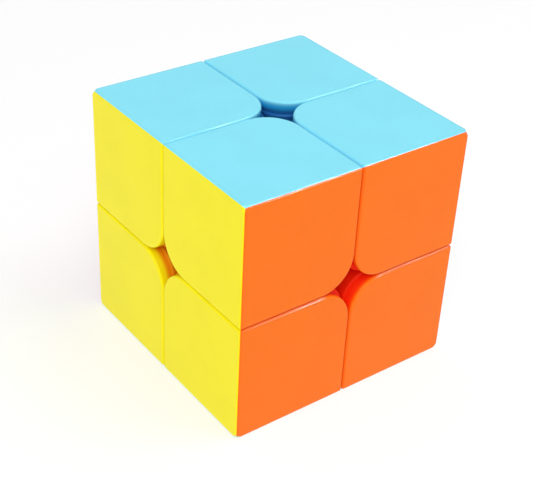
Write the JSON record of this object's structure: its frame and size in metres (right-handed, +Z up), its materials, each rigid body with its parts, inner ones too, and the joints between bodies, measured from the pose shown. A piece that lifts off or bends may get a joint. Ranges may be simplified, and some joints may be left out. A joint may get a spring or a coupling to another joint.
{
  "type": "twisty puzzle cube",
  "caption": "Stickerless twisty puzzle cube with one cut through each direction; every layer turns about its own centre.",
  "frame": {"origin": "centre of the core, where the six turning axes meet; also the centre of the bounding box", "axes": "+Z up out of the light blue face, +X out of the white right face, -Y out of the orange front face"},
  "size_m": [0.05, 0.05, 0.05],
  "materials": {
    "light_blue": "smooth moulded gloss, coloured through",
    "yellow": "smooth moulded gloss, coloured through",
    "orange": "smooth moulded gloss, coloured through",
    "red": "smooth moulded gloss, coloured through",
    "white": "smooth moulded gloss, coloured through",
    "green": "smooth moulded gloss, coloured through",
    "inner_plastic": "plain moulded, slightly waxy",
    "steel": "zinc plated",
    "spring_steel": "drawn wire"
  },
  "bodies": {
    "core": {"core": "inner_plastic", "screws": "steel", "springs": "spring_steel", "washers": "steel"},
    "centre_right": {"centre_right": "white", "cover_right": "white"},
    "centre_left": {"centre_left": "yellow", "cover_left": "yellow"},
    "centre_back": {"centre_back": "red", "cover_back": "red"},
    "centre_front": {"centre_front": "orange", "cover_front": "orange"},
    "centre_top": {"centre_top": "light_blue", "cover_top": "light_blue"},
    "centre_bottom": {"centre_bottom": "green", "cover_bottom": "green"},
    "edge_front_left": {"edge_front_left": "inner_plastic"},
    "edge_back_left": {"edge_back_left": "inner_plastic"},
    "edge_front_right": {"edge_front_right": "inner_plastic"},
    "edge_back_right": {"edge_back_right": "inner_plastic"},
    "edge_bottom_left": {"edge_bottom_left": "inner_plastic"},
    "edge_bottom_right": {"edge_bottom_right": "inner_plastic"},
    "edge_top_left": {"edge_top_left": "inner_plastic"},
    "edge_top_right": {"edge_top_right": "inner_plastic"},
    "edge_bottom_front": {"edge_bottom_front": "inner_plastic"},
    "edge_top_front": {"edge_top_front": "inner_plastic"},
    "edge_bottom_back": {"edge_bottom_back": "inner_plastic"},
    "edge_top_back": {"edge_top_back": "inner_plastic"},
    "corner_bottom_front_left": {"bottom_front_left_foot": "inner_plastic", "bottom_front_left_cap_bottom": "green", "bottom_front_left_cap_front": "orange", "bottom_front_left_cap_left": "yellow"},
    "corner_bottom_front_right": {"bottom_front_right_foot": "inner_plastic", "bottom_front_right_cap_bottom": "green", "bottom_front_right_cap_front": "orange", "bottom_front_right_cap_right": "white"},
    "corner_bottom_back_left": {"bottom_back_left_foot": "inner_plastic", "bottom_back_left_cap_bottom": "green", "bottom_back_left_cap_back": "red", "bottom_back_left_cap_left": "yellow"},
    "corner_bottom_back_right": {"bottom_back_right_foot": "inner_plastic", "bottom_back_right_cap_bottom": "green", "bottom_back_right_cap_back": "red", "bottom_back_right_cap_right": "white"},
    "corner_top_front_left": {"top_front_left_foot": "inner_plastic", "top_front_left_cap_top": "light_blue", "top_front_left_cap_front": "orange", "top_front_left_cap_left": "yellow"},
    "corner_top_front_right": {"top_front_right_foot": "inner_plastic", "top_front_right_cap_top": "light_blue", "top_front_right_cap_front": "orange", "top_front_right_cap_right": "white"},
    "corner_top_back_left": {"top_back_left_foot": "inner_plastic", "top_back_left_cap_top": "light_blue", "top_back_left_cap_back": "red", "top_back_left_cap_left": "yellow"},
    "corner_top_back_right": {"top_back_right_foot": "inner_plastic", "top_back_right_cap_top": "light_blue", "top_back_right_cap_back": "red", "top_back_right_cap_right": "white"}
  },
  "joints": [
    {"name": "turn_right", "type": "hinge", "parent": "core", "child": "centre_right", "pos_m": [0, 0, 0], "axis": [1, 0, 0], "continuous": true},
    {"name": "turn_left", "type": "hinge", "parent": "core", "child": "centre_left", "pos_m": [0, 0, 0], "axis": [1, 0, 0], "continuous": true},
    {"name": "turn_back", "type": "hinge", "parent": "core", "child": "centre_back", "pos_m": [0, 0, 0], "axis": [0, 1, 0], "continuous": true},
    {"name": "turn_front", "type": "hinge", "parent": "core", "child": "centre_front", "pos_m": [0, 0, 0], "axis": [0, 1, 0], "continuous": true},
    {"name": "turn_top", "type": "hinge", "parent": "core", "child": "centre_top", "pos_m": [0, 0, 0], "axis": [0, 0, 1], "continuous": true},
    {"name": "turn_bottom", "type": "hinge", "parent": "core", "child": "centre_bottom", "pos_m": [0, 0, 0], "axis": [0, 0, 1], "continuous": true},
    {"name": "edge_front_left_with_front", "type": "hinge", "parent": "centre_left", "child": "edge_front_left", "pos_m": [0, 0, 0], "axis": [0, 1, 0], "continuous": true},
    {"name": "edge_back_left_with_back", "type": "hinge", "parent": "centre_left", "child": "edge_back_left", "pos_m": [0, 0, 0], "axis": [0, 1, 0], "continuous": true},
    {"name": "edge_front_right_with_front", "type": "hinge", "parent": "centre_right", "child": "edge_front_right", "pos_m": [0, 0, 0], "axis": [0, 1, 0], "continuous": true},
    {"name": "edge_back_right_with_back", "type": "hinge", "parent": "centre_right", "child": "edge_back_right", "pos_m": [0, 0, 0], "axis": [0, 1, 0], "continuous": true},
    {"name": "edge_bottom_left_with_left", "type": "hinge", "parent": "centre_bottom", "child": "edge_bottom_left", "pos_m": [0, 0, 0], "axis": [1, 0, 0], "continuous": true},
    {"name": "edge_bottom_right_with_right", "type": "hinge", "parent": "centre_bottom", "child": "edge_bottom_right", "pos_m": [0, 0, 0], "axis": [1, 0, 0], "continuous": true},
    {"name": "edge_top_left_with_left", "type": "hinge", "parent": "centre_top", "child": "edge_top_left", "pos_m": [0, 0, 0], "axis": [1, 0, 0], "continuous": true},
    {"name": "edge_top_right_with_right", "type": "hinge", "parent": "centre_top", "child": "edge_top_right", "pos_m": [0, 0, 0], "axis": [1, 0, 0], "continuous": true},
    {"name": "edge_bottom_front_with_bottom", "type": "hinge", "parent": "centre_front", "child": "edge_bottom_front", "pos_m": [0, 0, 0], "axis": [0, 0, 1], "continuous": true},
    {"name": "edge_top_front_with_top", "type": "hinge", "parent": "centre_front", "child": "edge_top_front", "pos_m": [0, 0, 0], "axis": [0, 0, 1], "continuous": true},
    {"name": "edge_bottom_back_with_bottom", "type": "hinge", "parent": "centre_back", "child": "edge_bottom_back", "pos_m": [0, 0, 0], "axis": [0, 0, 1], "continuous": true},
    {"name": "edge_top_back_with_top", "type": "hinge", "parent": "centre_back", "child": "edge_top_back", "pos_m": [0, 0, 0], "axis": [0, 0, 1], "continuous": true},
    {"name": "corner_bottom_front_left_with_left", "type": "hinge", "parent": "edge_bottom_front", "child": "corner_bottom_front_left", "pos_m": [0, 0, 0], "axis": [1, 0, 0], "continuous": true},
    {"name": "corner_bottom_front_right_with_right", "type": "hinge", "parent": "edge_bottom_front", "child": "corner_bottom_front_right", "pos_m": [0, 0, 0], "axis": [1, 0, 0], "continuous": true},
    {"name": "corner_bottom_back_left_with_left", "type": "hinge", "parent": "edge_bottom_back", "child": "corner_bottom_back_left", "pos_m": [0, 0, 0], "axis": [1, 0, 0], "continuous": true},
    {"name": "corner_bottom_back_right_with_right", "type": "hinge", "parent": "edge_bottom_back", "child": "corner_bottom_back_right", "pos_m": [0, 0, 0], "axis": [1, 0, 0], "continuous": true},
    {"name": "corner_top_front_left_with_left", "type": "hinge", "parent": "edge_top_front", "child": "corner_top_front_left", "pos_m": [0, 0, 0], "axis": [1, 0, 0], "continuous": true},
    {"name": "corner_top_front_right_with_right", "type": "hinge", "parent": "edge_top_front", "child": "corner_top_front_right", "pos_m": [0, 0, 0], "axis": [1, 0, 0], "continuous": true},
    {"name": "corner_top_back_left_with_left", "type": "hinge", "parent": "edge_top_back", "child": "corner_top_back_left", "pos_m": [0, 0, 0], "axis": [1, 0, 0], "continuous": true},
    {"name": "corner_top_back_right_with_right", "type": "hinge", "parent": "edge_top_back", "child": "corner_top_back_right", "pos_m": [0, 0, 0], "axis": [1, 0, 0], "continuous": true}
  ],
  "couplings": [
    {"joint": "edge_front_left_with_front", "follows": "turn_front", "ratio": 1},
    {"joint": "edge_back_left_with_back", "follows": "turn_back", "ratio": 1},
    {"joint": "edge_front_right_with_front", "follows": "turn_front", "ratio": 1},
    {"joint": "edge_back_right_with_back", "follows": "turn_back", "ratio": 1},
    {"joint": "edge_bottom_left_with_left", "follows": "turn_left", "ratio": 1},
    {"joint": "edge_bottom_right_with_right", "follows": "turn_right", "ratio": 1},
    {"joint": "edge_top_left_with_left", "follows": "turn_left", "ratio": 1},
    {"joint": "edge_top_right_with_right", "follows": "turn_right", "ratio": 1},
    {"joint": "edge_bottom_front_with_bottom", "follows": "turn_bottom", "ratio": 1},
    {"joint": "edge_top_front_with_top", "follows": "turn_top", "ratio": 1},
    {"joint": "edge_bottom_back_with_bottom", "follows": "turn_bottom", "ratio": 1},
    {"joint": "edge_top_back_with_top", "follows": "turn_top", "ratio": 1},
    {"joint": "corner_bottom_front_left_with_left", "follows": "turn_left", "ratio": 1},
    {"joint": "corner_bottom_front_right_with_right", "follows": "turn_right", "ratio": 1},
    {"joint": "corner_bottom_back_left_with_left", "follows": "turn_left", "ratio": 1},
    {"joint": "corner_bottom_back_right_with_right", "follows": "turn_right", "ratio": 1},
    {"joint": "corner_top_front_left_with_left", "follows": "turn_left", "ratio": 1},
    {"joint": "corner_top_front_right_with_right", "follows": "turn_right", "ratio": 1},
    {"joint": "corner_top_back_left_with_left", "follows": "turn_left", "ratio": 1},
    {"joint": "corner_top_back_right_with_right", "follows": "turn_right", "ratio": 1}
  ]
}
